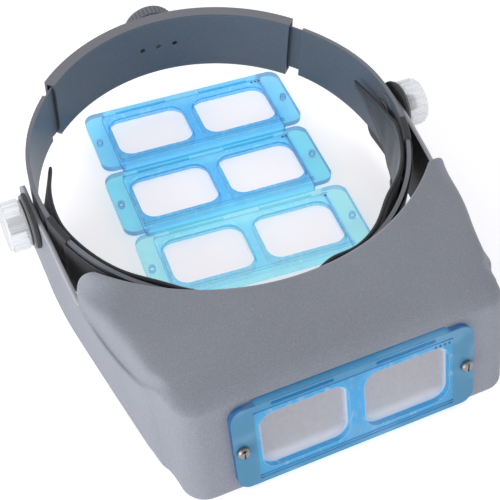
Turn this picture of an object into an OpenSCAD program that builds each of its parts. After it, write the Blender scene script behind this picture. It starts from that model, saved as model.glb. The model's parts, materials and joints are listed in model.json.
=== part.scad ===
// Headband visor magnifier: a moulded visor that carries a pair of lenses and
// tilts on two clamp knobs, on a headband with a ratchet adjuster at the back.
// Three spare lens plates lie on the table inside the headband.
// -Y is forward and Z is up. X is to the wearer's left, so left and right in the names are as seen
// from the front. The visor's lower rim rests on Z = 0. The origin is the middle of the footprint.

/* [Headband] */
// Inside radius of the headband ring
band_r = 89.2; // [88:0.1:91]
// Thickness of the band and of the side straps
band_t = 2; // [1.8:0.1:2.2]
// Height of the band
band_h = 35; // [32:0.5:38]
// Height of the pivot axis above the band's lower edge
pivot_over_band = 22.5; // [20:0.5:24]
// Distance of the ring's centre behind the pivot axis
ring_back = 3; // [2:0.5:4]
// Tilt of the headband, back end up
band_tilt = 4.5; // [0:0.5:8]
// Thickness of the sweatband's inner layer
sweat_t = 3; // [2:0.2:3.2]

/* [Visor] */
// Wall thickness of the visor
wall = 2.3; // [2:0.1:2.6]
// Half width of the visor at the pivots
arm_x = 94.6; // [94:0.1:96]
// Half width of the visor's front block
front_x = 77.5; // [75:0.5:80]
// Height of the side walls at the pivots
arm_top = 45; // [44:0.5:48]
// Height of the top panel at its back edge
panel_top = 52; // [50:0.5:53]
// Angle by which the front face leans back
face_lean = 14.3; // [10:0.1:18]
// Distance from the pivot axis forward to the foot of the front face
reach = 146; // [140:0.1:150]

/* [Pivots] */
// Height of the pivot axis over the table
pivot_z = 38; // [36:0.5:38.5]
// Distance of the pivot axis behind the middle of the footprint
pivot_y = 19.4; // [10:0.1:26]
// Radius of the pivot stud
stud_r = 2.5; // [2:0.1:3]
// Radius of the clear clamp knobs
knob_r = 12; // [11:0.5:14]
// Length of the clear clamp knobs
knob_len = 10; // [8:0.5:12]
// Number of ribs round a clamp knob
knob_ribs = 16; // [12:1:20]

/* [Lens plates] */
// Length of a lens plate over its end tabs
plate_l = 112; // [110:0.5:114]
// Height of a lens plate
plate_w = 43; // [42:0.5:44]
// Depth of a lens plate's body
plate_t = 6; // [5.5:0.1:6.4]
// Thickness of the end tabs
tab_t = 3; // [2.5:0.1:3.4]
// Length of each end tab
tab_l = 10; // [9:0.5:11]
// Distance from the plate's middle to each screw hole
screw_x = 52.3; // [51:0.1:53]
// Width of a lens window
window_w = 40.5; // [38:0.5:41]
// Height of a lens window
window_h = 30.5; // [28:0.5:31]
// Distance between the two lens centres
lens_pitch = 47.5; // [46:0.5:48]

/* [Rear adjuster] */
// Half angle that the rear housing covers
housing_span = 45.5; // [43:0.5:46]
// Angle by which the adjuster sits to the right of the middle
rear_turn = 1.8; // [0:0.2:3]
// Wall thickness of the housing's two shells
shell_t = 1.15; // [1:0.05:1.2]
// Radius of the adjusting knob
dial_r = 14; // [14:0.5:16]
// Length of the adjusting knob
dial_len = 6.5; // [6:0.5:12]
// Module of the pinion and racks
gear_m = 1; // [0.95:0.05:1]
// Number of pinion teeth
gear_n = 10; // [10:1:10]

/* [Hidden] */
$fn = 64;

// Clearances
run_gap = 0.06;
slip = 0.05;
cut = 1;

// Headband
band_out = band_r + band_t;
band_lo = -pivot_over_band;
band_mid = band_lo + band_h / 2;
boss_r = 9;
boss_out = band_out + 0.2;
boss_in = band_r - 0.6;
front_end = asin((boss_r - ring_back) / band_out);
strap_start = front_end + 0.35;
tongue_from = 50;
tongue_h = 30;
tail_past = 20;
tail_t = 1;
tooth_in = 0.08;

// Pivot stack, as distances from the middle plane
arm_in = arm_x - wall;
disc_r = 13.3;
spacer_r = 7.5;
washer_r = 11;
head_r = 6;
head_t = 1;
friction_x = arm_x + slip;
friction_t = 1.5;
thrust_x = friction_x + friction_t + slip;
thrust_t = 1.2;
washer_x = thrust_x + thrust_t + slip;
washer_t = 0.7;
knob_x = washer_x + washer_t + slip;
core_r = 4;
core_deep = 7.5;
knob_rib_r = 1.5;
stud_end = knob_x + 6.5;

// Visor outline
front_y = pivot_y - reach;
wall_back = pivot_y + 20;
panel_arc_z = 39.5;
panel_corner_r = 9;
shoulder_front = 37;
corner_r = 11;
cutout_r = 110;
cutout_y = pivot_y + 20;
ear_r = 8;
ear_y = -44;
panel_inset = 2.5;
notch_clear = 0.6;
plate_z = plate_w / 2 * cos(face_lean) + plate_t * sin(face_lean) + 0.25;

// Lens plates
lens_t = 2.6;
lens_fit = 0.1;
rebate = 1.2;
screw_hole_r = 1.7;
screw_r = 1.45;
insert_r = 2.1;
insert_len = 6;
insert_boss_r = 4.2;
screw_head_r = 2.75;
screw_head_t = 2.4;
screw_reach = 4.5;
slot_l = 28;

// Rear adjuster, as distances from the ring's centre
shell_in = band_r - 1.2;
cavity_in = shell_in + shell_t;
cavity_out = cavity_in + 3.4;
shell_out = cavity_out + shell_t;
tail_in_l = cavity_in + 0.5;
tail_in_r = tail_in_l + tail_t + 0.3;
boss_face = shell_out + 1.6;
ring_face = boss_face + 3.2;
pitch_r = gear_m * gear_n / 2;
slot_half = pitch_r + 1.9;
ring_r = dial_r - 2.2;
ring_in = ring_r - 1.55;
shaft_end = dial_len + 2;
rear = 90 - rear_turn;
slot_deg_near = 26;
slot_deg_far = 14;
sunk = 0.55;
lip = 1.2;
lug_x = 9;
lug_bore_r = 0.8;
end_hole_r = 1.5;
tooth_tip = 0.25;
tooth_foot = 0.9;
tooth_drop = 0.72 * gear_m;
journal_r = 3;
square_half = 2;
knob_hub_r = 5;

// ---------- frames ----------

module mirrored(side) {
    if (side > 0) children();
    else mirror([1, 0, 0]) children();
}

// The headband's frame: origin on the pivot axis, tilted with the band
module in_band() {
    translate([0, pivot_y, pivot_z]) rotate([band_tilt, 0, 0]) children();
}

// The ring's centre, at the band's lower edge
module in_ring() {
    in_band() translate([0, ring_back, band_lo]) children();
}

// The rear adjuster's frame: local Z points backwards, from the ring's centre
module at_back() {
    in_band() translate([0, ring_back, band_mid]) rotate([-90, 0, -rear_turn]) children();
}

// On the pivot axis, local Z points out of one side
module at_pivot(side) {
    translate([0, pivot_y, pivot_z]) rotate([0, 90 * side, 0]) children();
}

// The seat of the mounted lens plate, local Z points out of the front face
module at_plate_seat() {
    translate([0, front_y + plate_z * tan(face_lean), plate_z])
        rotate([90 - face_lean, 0, 0]) children();
}

// ---------- general shapes ----------

// A sector of a ring, from angle a0 to a1, anticlockwise from +X
module arc_wall(r_in, r_out, h, a0, a1) {
    rotate([0, 0, a0]) rotate_extrude(angle = a1 - a0, $fn = 180)
        translate([r_in, 0]) square([r_out - r_in, h]);
}

module disc(x, t, r, bore) {
    translate([0, 0, x]) difference() {
        cylinder(r = r, h = t);
        translate([0, 0, -cut]) cylinder(r = bore, h = t + 2 * cut);
    }
}

module rounded_slab(w, h, t, r) {
    linear_extrude(t) union() {
        square([w - 2 * r, h], center = true);
        square([w, h - 2 * r], center = true);
        for (x = [-1, 1], y = [-1, 1])
            translate([x * (w / 2 - r), y * (h / 2 - r)]) circle(r);
    }
}

// ---------- lens plates ----------

// Front face on local Z = 0, body behind it
module plate_frame() {
    difference() {
        union() {
            translate([0, 0, -tab_t]) rounded_slab(plate_l, plate_w, tab_t, 6);
            translate([0, 0, -plate_t])
                rounded_slab(plate_l - 2 * tab_l, plate_w, plate_t - tab_t / 2, 2);
        }
        for (s = [-1, 1]) translate([s * lens_pitch / 2, 0, 0]) {
            translate([0, 0, -plate_t - cut])
                rounded_slab(window_w, window_h, plate_t + 2 * cut, 7);
            translate([0, 0, -plate_t - cut])
                rounded_slab(window_w + 2 * rebate, window_h + 2 * rebate, lens_t + 0.6 + cut, 8);
        }
        for (s = [-1, 1]) translate([s * screw_x, 0, -tab_t - cut])
            cylinder(r = screw_hole_r, h = tab_t + 2 * cut);
        for (s = [-1, 1]) translate([s * lens_pitch / 2 - slot_l / 2, plate_w / 2 - 2.5, -1.6])
            cube([slot_l, 1.6, 1.6 + cut]);
        for (y = [3.9 - plate_w / 2, 2.4 - plate_w / 2, plate_w / 2 - 4])
            translate([tab_l - plate_l / 2, y, -0.45]) cube([plate_l - 2 * tab_l, 0.6, 0.45 + cut]);
    }
}

// A flat-sided lens blank that fills the rebate of one window
module lens() {
    translate([0, 0, -plate_t + 0.3])
        rounded_slab(window_w + 2 * (rebate - lens_fit), window_h + 2 * (rebate - lens_fit),
                     lens_t, 8 - lens_fit);
}

module lens_at(s) {
    color("white", 0.5) translate([s * lens_pitch / 2, 0, 0]) lens();
}

module lens_screw() {
    difference() {
        union() {
            cylinder(r = screw_head_r, h = screw_head_t - 0.8);
            translate([0, 0, screw_head_t - 0.8]) cylinder(r1 = screw_head_r, r2 = 2.1, h = 0.8);
            translate([0, 0, -tab_t - screw_reach]) cylinder(r = screw_r, h = tab_t + screw_reach + 0.1);
        }
        translate([-0.35, -2, screw_head_t - 0.8]) cube([0.7, 4, 1]);
    }
}

module spare_place(x, y, turn) {
    translate([x, y, plate_t + 0.01]) rotate([0, 0, turn]) children();
}

module rear_place() {
    spare_place(11.4, pivot_y + 67.4, -3.45) children();
}

module middle_place() {
    spare_place(6.4, pivot_y + 20.4, -3.3) children();
}

module front_place() {
    spare_place(5.4, pivot_y - 26.6, -4.3) children();
}

module lens_plate_frame() {
    color("deepskyblue") at_plate_seat() translate([0, 0, tab_t + 0.02]) plate_frame();
}

module lens_right() {
    at_plate_seat() translate([0, 0, tab_t + 0.02]) lens_at(1);
}

module lens_left() {
    at_plate_seat() translate([0, 0, tab_t + 0.02]) lens_at(-1);
}

module screw_in_plate(s) {
    color("silver") at_plate_seat() translate([s * screw_x, 0, tab_t + 0.05]) lens_screw();
}

module lens_screw_left() {
    screw_in_plate(-1);
}

module lens_screw_right() {
    screw_in_plate(1);
}

module lens_screw_inserts() {
    color("goldenrod") at_plate_seat() for (s = [-1, 1]) translate([s * screw_x, 0, 0])
        disc(-insert_len, insert_len - 0.1, insert_r, screw_r + run_gap);
}

module spare_frame() {
    color("skyblue") plate_frame();
}

module spare_lenses() {
    for (s = [-1, 1]) lens_at(s);
}

module spare_frame_rear() {
    rear_place() spare_frame();
}

module spare_lenses_rear() {
    rear_place() spare_lenses();
}

module spare_frame_middle() {
    middle_place() spare_frame();
}

module spare_lenses_middle() {
    middle_place() spare_lenses();
}

module spare_frame_front() {
    front_place() spare_frame();
}

module spare_lenses_front() {
    front_place() spare_lenses();
}

// ---------- visor ----------

// Outline of the visor seen from above, in by the given inset; the front is rounded
module visor_plan(inset, narrow = 0) {
    bend_y = pivot_y - 18;
    side_y = front_y + 27;
    side_x = front_x + 4.7;
    r = max(corner_r - inset, 1);
    squash = cos(face_lean);
    in_x = inset + narrow;
    for (m = [0, 1]) mirror([m, 0]) {
        polygon([
            [0, wall_back + 40], [arm_x - in_x, wall_back + 40],
            [arm_x - in_x, bend_y], [arm_x - 1 - in_x, bend_y - 14],
            [side_x - in_x, side_y * squash], [side_x - 0.5 - in_x, (side_y - 2) * squash],
            [side_x - 1.8 - in_x, (side_y - 5) * squash], [front_x + 1.4 - in_x, (side_y - 6.6) * squash],
            [front_x - in_x, (side_y - 13.5) * squash], [front_x - in_x, (front_y + corner_r) * squash],
            [0, (front_y + corner_r) * squash]
        ]);
        translate([0, front_y * squash + inset]) square([front_x - in_x - r, corner_r]);
        translate([front_x - in_x - r, front_y * squash + inset + r]) circle(r);
    }
}

// The plan run up along the leaning front face
module visor_column(inset, narrow = 0) {
    rotate([-face_lean, 0, 0]) translate([0, 0, -40]) linear_extrude(140)
        visor_plan(inset, narrow);
}

// A side view outline, points as [y, z], run across the whole width
module side_slab(points) {
    translate([-150, 0, 0]) rotate([90, 0, 90]) linear_extrude(300) polygon(points);
}

// Side walls and shoulders; drop lowers the top
module shoulder_body(inset, drop) {
    intersection() {
        visor_column(inset);
        side_slab([
            [wall_back, 5 - 10 * drop], [wall_back, arm_top - 5], [wall_back - 2, arm_top - 1.5 - drop],
            [wall_back - 6, arm_top - drop], [ear_y, arm_top - drop],
            [front_y + 27, shoulder_front + 1 - drop], [front_y + 9, shoulder_front - drop],
            [front_y - 10, shoulder_front - drop], [front_y - 10, -drop], [wall_back - 5, -drop]
        ]);
    }
}

// The raised top panel, as seen from above, with the brow cut-out and two ears
module panel_plan(inset) {
    intersection() {
        visor_plan(inset, panel_inset);
        union() {
            difference() {
                translate([-120, -200]) square([240, 200 + ear_y + ear_r]);
                translate([0, cutout_y]) circle(cutout_r, $fn = 180);
            }
            for (s = [-1, 1]) translate([s * (arm_x - panel_inset - ear_r - 5), ear_y])
                circle(ear_r);
        }
    }
}

// The top panel's side view runs in an arc from its sloping top into the front face
module panel_body(inset, drop) {
    top_lean = 5;
    r = panel_corner_r - drop;
    yc = front_y + panel_arc_z * tan(face_lean) + panel_corner_r / cos(face_lean);
    intersection() {
        visor_column(inset, panel_inset);
        translate([0, 0, -40]) linear_extrude(140) union() {
            translate([-120, -260]) square([240, 260 + front_y + 20]);
            panel_plan(inset);
        }
        side_slab(concat(
            [[ear_y + 20, -drop], [ear_y + 20, panel_top - drop], [cutout_y - cutout_r, panel_top - drop]],
            [for (t = [top_lean:5:90 - face_lean]) [yc - r * sin(t), panel_arc_z + r * cos(t)]],
            [[yc - r * cos(face_lean), panel_arc_z + r * sin(face_lean)], [front_y - 12, -drop]]
        ));
    }
}

// The open space for the brow, between the side walls and behind the cut-out
module head_space() {
    translate([0, 0, -cut]) linear_extrude(panel_top + 20) intersection() {
        visor_plan(wall);
        difference() {
            translate([-120, -100]) square([240, 300]);
            panel_plan(0);
            translate([-120, -200]) square([240, 200 + ear_y - 14]);
        }
    }
    translate([0, 0, -cut]) linear_extrude(panel_top + 20) intersection() {
        translate([0, cutout_y]) circle(cutout_r, $fn = 180);
        translate([-70, -100]) square([140, 100]);
    }
}

// Screw bosses behind the front face
module screw_bosses() {
    at_plate_seat() for (s = [-1, 1]) translate([s * screw_x, 0, -insert_len - 0.8])
        cylinder(r = insert_boss_r, h = insert_len);
}

module visor_shell() {
    color("slategray") difference() {
        union() {
            difference() {
                union() {
                    shoulder_body(0, 0);
                    panel_body(0, 0);
                }
                shoulder_body(wall, wall);
                panel_body(wall, wall);
                head_space();
            }
            screw_bosses();
        }
        at_plate_seat() translate([-plate_l / 2 + tab_l - notch_clear, -plate_w, -30])
            cube([plate_l - 2 * tab_l + 2 * notch_clear, plate_w * 1.5 + notch_clear, 40]);
        at_plate_seat() for (s = [-1, 1]) translate([s * screw_x, 0, -insert_len - 2])
            cylinder(r = insert_r, h = insert_len + 12);
        for (s = [-1, 1]) at_pivot(s) translate([0, 0, arm_in - 3])
            cylinder(r = stud_r + run_gap, h = wall + 6);
    }
}

// ---------- pivots ----------

module pivot_stud(s) {
    color("silver") at_pivot(s) {
        translate([0, 0, boss_in - head_t]) cylinder(r = head_r, h = head_t);
        translate([0, 0, boss_in - 0.4]) cylinder(r = stud_r, h = stud_end - boss_in + 0.4);
    }
}

module pivot_stud_left() {
    pivot_stud(-1);
}

module pivot_stud_right() {
    pivot_stud(1);
}

module arm_spacer(s) {
    color("dimgray") at_pivot(s)
        disc(boss_out + slip, arm_in - boss_out - 2 * slip, spacer_r, stud_r + run_gap);
}

module arm_spacer_left() {
    arm_spacer(-1);
}

module arm_spacer_right() {
    arm_spacer(1);
}

module friction_disc(s) {
    color("black") at_pivot(s) disc(friction_x, friction_t, disc_r, stud_r + run_gap);
}

module friction_disc_left() {
    friction_disc(-1);
}

module friction_disc_right() {
    friction_disc(1);
}

module thrust_disc(s) {
    color("gray") at_pivot(s) disc(thrust_x, thrust_t, disc_r - 0.6, stud_r + run_gap);
}

module thrust_disc_left() {
    thrust_disc(-1);
}

module thrust_disc_right() {
    thrust_disc(1);
}

module knob_washer(s) {
    color("black") at_pivot(s) disc(washer_x, washer_t, washer_r, stud_r + run_gap);
}

module knob_washer_left() {
    knob_washer(-1);
}

module knob_washer_right() {
    knob_washer(1);
}

module clamp_knob(s) {
    color("white", 0.5) at_pivot(s) difference() {
        union() {
            translate([0, 0, knob_x]) cylinder(r = knob_r - 1.3, h = knob_len);
            for (i = [0:knob_ribs - 1]) rotate([0, 0, i * 360 / knob_ribs])
                translate([knob_r - knob_rib_r, 0, knob_x + 0.8])
                    cylinder(r = knob_rib_r, h = knob_len - 2.2, $fn = 20);
        }
        translate([0, 0, knob_x - cut]) cylinder(r = core_r, h = core_deep + cut);
    }
}

module clamp_knob_left() {
    clamp_knob(-1);
}

module clamp_knob_right() {
    clamp_knob(1);
}

module knob_core(s) {
    color("dimgray") at_pivot(s)
        disc(knob_x, core_deep - 0.3, core_r - 0.02, stud_r + run_gap);
}

module knob_core_left() {
    knob_core(-1);
}

module knob_core_right() {
    knob_core(1);
}

// ---------- headband ----------

module band_boss(s) {
    in_band() rotate([0, 90 * s, 0]) translate([0, 0, boss_in])
        cylinder(r = boss_r, h = boss_out - boss_in);
}

module front_band() {
    color("slategray") difference() {
        union() {
            in_ring() arc_wall(band_r, band_out, band_h, 180 - front_end, 360 + front_end);
            for (s = [-1, 1]) band_boss(s);
        }
        for (s = [-1, 1]) at_pivot(s) {
            translate([0, 0, boss_in - 9.4]) cylinder(r = head_r + 0.1, h = 9.45);
            translate([0, 0, boss_in - 9.4]) cylinder(r = stud_r, h = 20);
        }
    }
}

// A soft sleeve: turned up round the band's lower edge at the front, with a tongue past each pivot
module sweatband() {
    r = band_r - 1.9;
    out = band_out + 1.6;
    top = band_h - 1.5;
    color("black") in_ring() {
        rotate([0, 0, 212]) rotate_extrude(angle = 116, $fn = 180) polygon([
            [r - sweat_t, -2.2], [out, -2.2], [out, top - 1], [out - 1.4, top - 1],
            [out - 1.4, -0.2], [r, -0.2], [r, top], [r - sweat_t, top]
        ]);
        for (a = [168, 326]) translate([0, 0, 1.7])
            arc_wall(r - sweat_t + 0.2, r - 0.2, top - 2, a, a + 46);
    }
}

// Rack teeth stand on one edge of the slot and point at the pinion; one stands over its axis
module rack(r, side, mid) {
    step = 180 * gear_m / band_r;
    root = pitch_r + 1.55 * gear_m;
    for (k = [-floor((slot_deg_far - 1) / step):floor((slot_deg_near - 1) / step)])
        rack_tooth(r, side, mid + k * step, root);
}

module rack_tooth(r, side, a, root) {
    rotate([0, 0, a]) translate([r, 0, band_h / 2])
        rotate([90, 0, 90]) linear_extrude(tail_t) polygon([
            [-tooth_foot, side * (root + 0.8)], [tooth_foot, side * (root + 0.8)],
            [tooth_tip, side * (pitch_r - tooth_drop)], [-tooth_tip, side * (pitch_r - tooth_drop)]
        ]);
}

// Left strap: angles run from the pivot (180) to past the pinion, which stands at mid
module strap(r_tail, side, mid) {
    z0 = (band_h - tongue_h) / 2;
    difference() {
        union() {
            arc_wall(band_r, band_out, band_h, mid + tongue_from, 180 - strap_start);
            translate([0, 0, z0])
                arc_wall(r_tail, r_tail + tail_t, tongue_h, mid - tail_past, mid + tongue_from + 2);
            translate([0, 0, z0 + 1]) arc_wall(band_r + 0.4, r_tail + tail_t - 0.2, tongue_h - 2,
                                               mid + tongue_from + 0.5, mid + tongue_from + 3);
        }
        translate([0, 0, band_h / 2 - slot_half])
            arc_wall(r_tail - cut, r_tail + tail_t + cut, 2 * slot_half,
                     mid - slot_deg_far, mid + slot_deg_near);
    }
    intersection() {
        arc_wall(r_tail + tooth_in, r_tail + tail_t - tooth_in, band_h,
                 mid - slot_deg_far - 1, mid + slot_deg_near + 1);
        rack(r_tail, side, mid);
    }
}

module side_strap_left() {
    color("slategray") in_ring() strap(tail_in_l, 1, rear);
}

module side_strap_right() {
    color("slategray") in_ring() mirror([1, 0, 0]) strap(tail_in_r, -1, 180 - rear);
}

// ---------- rear adjuster ----------

module housing_inner_cover() {
    a = housing_span;
    color("slategray") difference() {
        in_ring() translate([0, 0, lip + slip])
            arc_wall(shell_in, cavity_in, band_h - 2 * (lip + slip), rear - a, rear + a);
        at_back() {
            translate([0, 0, shell_in - 5]) cylinder(r = end_hole_r, h = 12);
            for (s = [-1, 1]) translate([s * lug_x, 0, shell_in - 5]) {
                cylinder(r = 1, h = 12);
                cylinder(r = end_hole_r, h = 5 + sunk);
            }
        }
    }
}

module housing_outer_cover() {
    a = housing_span;
    color("slategray") difference() {
        union() {
            in_ring() {
                arc_wall(cavity_out, shell_out, band_h, rear - a, rear + a);
                arc_wall(shell_in, shell_out, lip, rear - a, rear + a);
                translate([0, 0, band_h - lip])
                    arc_wall(shell_in, shell_out, lip, rear - a, rear + a);
            }
            at_back() translate([0, 0, cavity_out + 0.6])
                cylinder(r = dial_r - 0.5, h = ring_face - cavity_out - 0.6);
        }
        at_back() {
            translate([0, 0, boss_face]) cylinder(r = ring_r + slip, h = 10);
            translate([0, 0, cavity_out - 5]) cylinder(r = journal_r + run_gap, h = 20);
            for (s = [-1, 1]) translate([s * lug_x, 0, cavity_out - 5]) cylinder(r = lug_bore_r, h = 7);
        }
    }
}

// Two screws join the covers through the slots of both straps
module housing_screws() {
    color("silver") at_back() for (s = [-1, 1]) translate([s * lug_x, 0, 0]) {
        translate([0, 0, shell_in + slip]) cylinder(r = end_hole_r - 0.1, h = sunk - 2 * slip);
        translate([0, 0, shell_in + sunk - 0.1]) cylinder(r = lug_bore_r - 0.02, h = 6);
    }
}

module click_ring() {
    teeth = 26;
    color("gray") at_back() translate([0, 0, boss_face]) linear_extrude(2.6) difference() {
        circle(ring_r);
        circle(ring_in);
        for (i = [0:teeth - 1]) rotate([0, 0, i * 360 / teeth])
            polygon([[ring_in - 0.8, -1.1], [ring_in + 0.8, 0], [ring_in - 0.8, 1.1]]);
    }
}

module rack_pinion() {
    tip_r = pitch_r + gear_m;
    root_r = pitch_r - 1.25 * gear_m;
    color("white") at_back() difference() {
        union() {
            translate([0, 0, cavity_in + 0.3]) linear_extrude(cavity_out - cavity_in - 0.5) union() {
                circle(root_r);
                for (i = [0:gear_n - 1]) rotate([0, 0, i * 360 / gear_n])
                    polygon([[root_r - 1, -1], [root_r, -0.9], [tip_r, -0.3],
                             [tip_r, 0.3], [root_r, 0.9], [root_r - 1, 1]]);
            }
            translate([0, 0, shell_in + sunk]) cylinder(r = end_hole_r - run_gap, h = 1.5);
            translate([0, 0, cavity_out - 1]) cylinder(r = journal_r, h = boss_face - cavity_out + 1.3);
            translate([-square_half, -square_half, boss_face])
                cube([2 * square_half, 2 * square_half, shaft_end]);
        }
        translate([0, 0, boss_face + 3]) cylinder(r = 0.9, h = 12);
    }
}

module adjusting_knob() {
    grip = 40;
    base = ring_face + 0.3;
    color("slategray") at_back() difference() {
        union() {
            translate([0, 0, base]) cylinder(r = dial_r - 0.6, h = dial_len);
            for (i = [0:grip - 1]) rotate([0, 0, i * 360 / grip])
                translate([dial_r - 0.8, 0, base]) cylinder(r = 0.8, h = dial_len - 1, $fn = 20);
            translate([0, 0, boss_face + 0.4]) cylinder(r = knob_hub_r, h = ring_face - boss_face);
        }
        translate([-square_half - 0.03, -square_half - 0.03, boss_face])
            cube([2 * square_half + 0.06, 2 * square_half + 0.06, shaft_end + 0.1]);
        translate([0, 0, boss_face + shaft_end - 1]) cylinder(r = 3.2, h = 12);
    }
}

// A leaf with a nose that rides on the ring's teeth; it stands on the knob's hub
module click_spring() {
    color("silver") at_back() translate([0, 0, boss_face + 0.5]) linear_extrude(1.8) union() {
        difference() {
            circle(7.6);
            circle(knob_hub_r + 0.05);
        }
        translate([-0.4, 6]) square([0.8, ring_in - 6.8]);
        translate([0, ring_in - 0.9]) circle(0.8);
    }
}

module knob_screw() {
    color("silver") at_back() {
        translate([0, 0, boss_face + shaft_end + 0.15]) cylinder(r = 3, h = 1.2);
        translate([0, 0, boss_face + 4]) cylinder(r = 0.88, h = shaft_end - 3.7);
    }
}

visor_shell();
lens_screw_inserts();
lens_plate_frame();
lens_left();
lens_right();
lens_screw_left();
lens_screw_right();
front_band();
sweatband();
pivot_stud_left();
pivot_stud_right();
arm_spacer_left();
arm_spacer_right();
friction_disc_left();
friction_disc_right();
thrust_disc_left();
thrust_disc_right();
knob_washer_left();
knob_washer_right();
clamp_knob_left();
clamp_knob_right();
knob_core_left();
knob_core_right();
side_strap_left();
side_strap_right();
housing_inner_cover();
housing_outer_cover();
housing_screws();
click_ring();
rack_pinion();
adjusting_knob();
click_spring();
knob_screw();
spare_frame_rear();
spare_lenses_rear();
spare_frame_middle();
spare_lenses_middle();
spare_frame_front();
spare_lenses_front();
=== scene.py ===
"""A headband visor magnifier with spare lens plates: its visible surfaces and finishes.

Lengths in this script are millimetres in the frame of the CAD model, and MM turns them into metres.
Only the lights and the camera, at the end, are placed in metres.
"""
import json
import math

import bmesh
import bpy
import numpy as np
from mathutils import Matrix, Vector


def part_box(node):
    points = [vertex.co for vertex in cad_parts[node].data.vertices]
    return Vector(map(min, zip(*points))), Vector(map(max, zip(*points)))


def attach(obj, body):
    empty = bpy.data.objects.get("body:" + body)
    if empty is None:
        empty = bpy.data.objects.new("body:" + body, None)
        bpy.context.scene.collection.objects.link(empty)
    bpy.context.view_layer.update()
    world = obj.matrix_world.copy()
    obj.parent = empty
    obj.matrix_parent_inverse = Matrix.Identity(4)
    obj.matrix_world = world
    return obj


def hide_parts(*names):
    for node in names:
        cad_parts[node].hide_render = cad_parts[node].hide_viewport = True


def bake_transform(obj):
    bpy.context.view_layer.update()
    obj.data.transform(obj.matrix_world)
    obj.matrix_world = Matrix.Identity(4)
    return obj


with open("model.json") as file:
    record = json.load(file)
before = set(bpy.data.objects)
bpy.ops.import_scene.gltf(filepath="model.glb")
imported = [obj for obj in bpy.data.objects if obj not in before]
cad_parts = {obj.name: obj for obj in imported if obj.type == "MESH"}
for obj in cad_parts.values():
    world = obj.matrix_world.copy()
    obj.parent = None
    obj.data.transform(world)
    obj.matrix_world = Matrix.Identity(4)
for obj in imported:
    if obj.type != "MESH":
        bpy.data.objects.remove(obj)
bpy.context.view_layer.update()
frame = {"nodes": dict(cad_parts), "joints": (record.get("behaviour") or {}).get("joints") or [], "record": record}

MM = 0.001
JOINTS = {j["name"]: j for j in frame["joints"]}
MOUNTS = {m["name"]: Vector(m["pos_m"]) / MM for m in frame["record"]["mounts"]}
PIVOT = Vector(JOINTS["visor_tilt"]["pos_m"]) / MM
BACKWARD = Vector(JOINTS["rear_housing_slide"]["axis"])
OUTWARD = Vector(JOINTS["lens_plate_lift_off"]["axis"])
TILT = math.atan2(BACKWARD.z, BACKWARD.y)
LEAN = math.tan(math.atan2(OUTWARD.z, -OUTWARD.y))

# The headband's ring
RING_BACK = 3.0
BAND_IN = 89.2
BAND_OUT = 91.2
BAND_LOW = -22.5
BAND_HIGH = 12.5

# The visor
WALL = 2.3
ARM_X = 94.6
ARM_BACK = PIVOT.y + 20
ARM_TOP = 45.0
ARM_CORNER = 6.0
FRONT_Y = PIVOT.y - 146.0
EAR_Y = PIVOT.y - 58.5
EAR_X = 81.5
EDGE_R = 9.0
EDGE_Z = 39.5
EDGE_Y = FRONT_Y + EDGE_Z * LEAN + EDGE_R * math.sqrt(1 + LEAN * LEAN)
PANEL_Z = 42.0
KNEE_Z = 43.9
CUTOUT_R = 110.0
CUTOUT_Y = PIVOT.y + 20
NOTCH_X = 46.6

# The lens screws' inserts
INSERT_R = 2.15
INSERT_LEN = 6.8
BOSS_R = 4.2
SCREW_STAND = 3.0

# Brightness of the white tent at the horizon and overhead
SKY_LOW = 1.25
SKY_HIGH = 0.5

# The lens plates
LENS_PITCH = 47.5
WINDOW_W = 40.5
WINDOW_H = 30.5
WINDOW_R = 7.0


# ---------- shader helpers ----------

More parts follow.
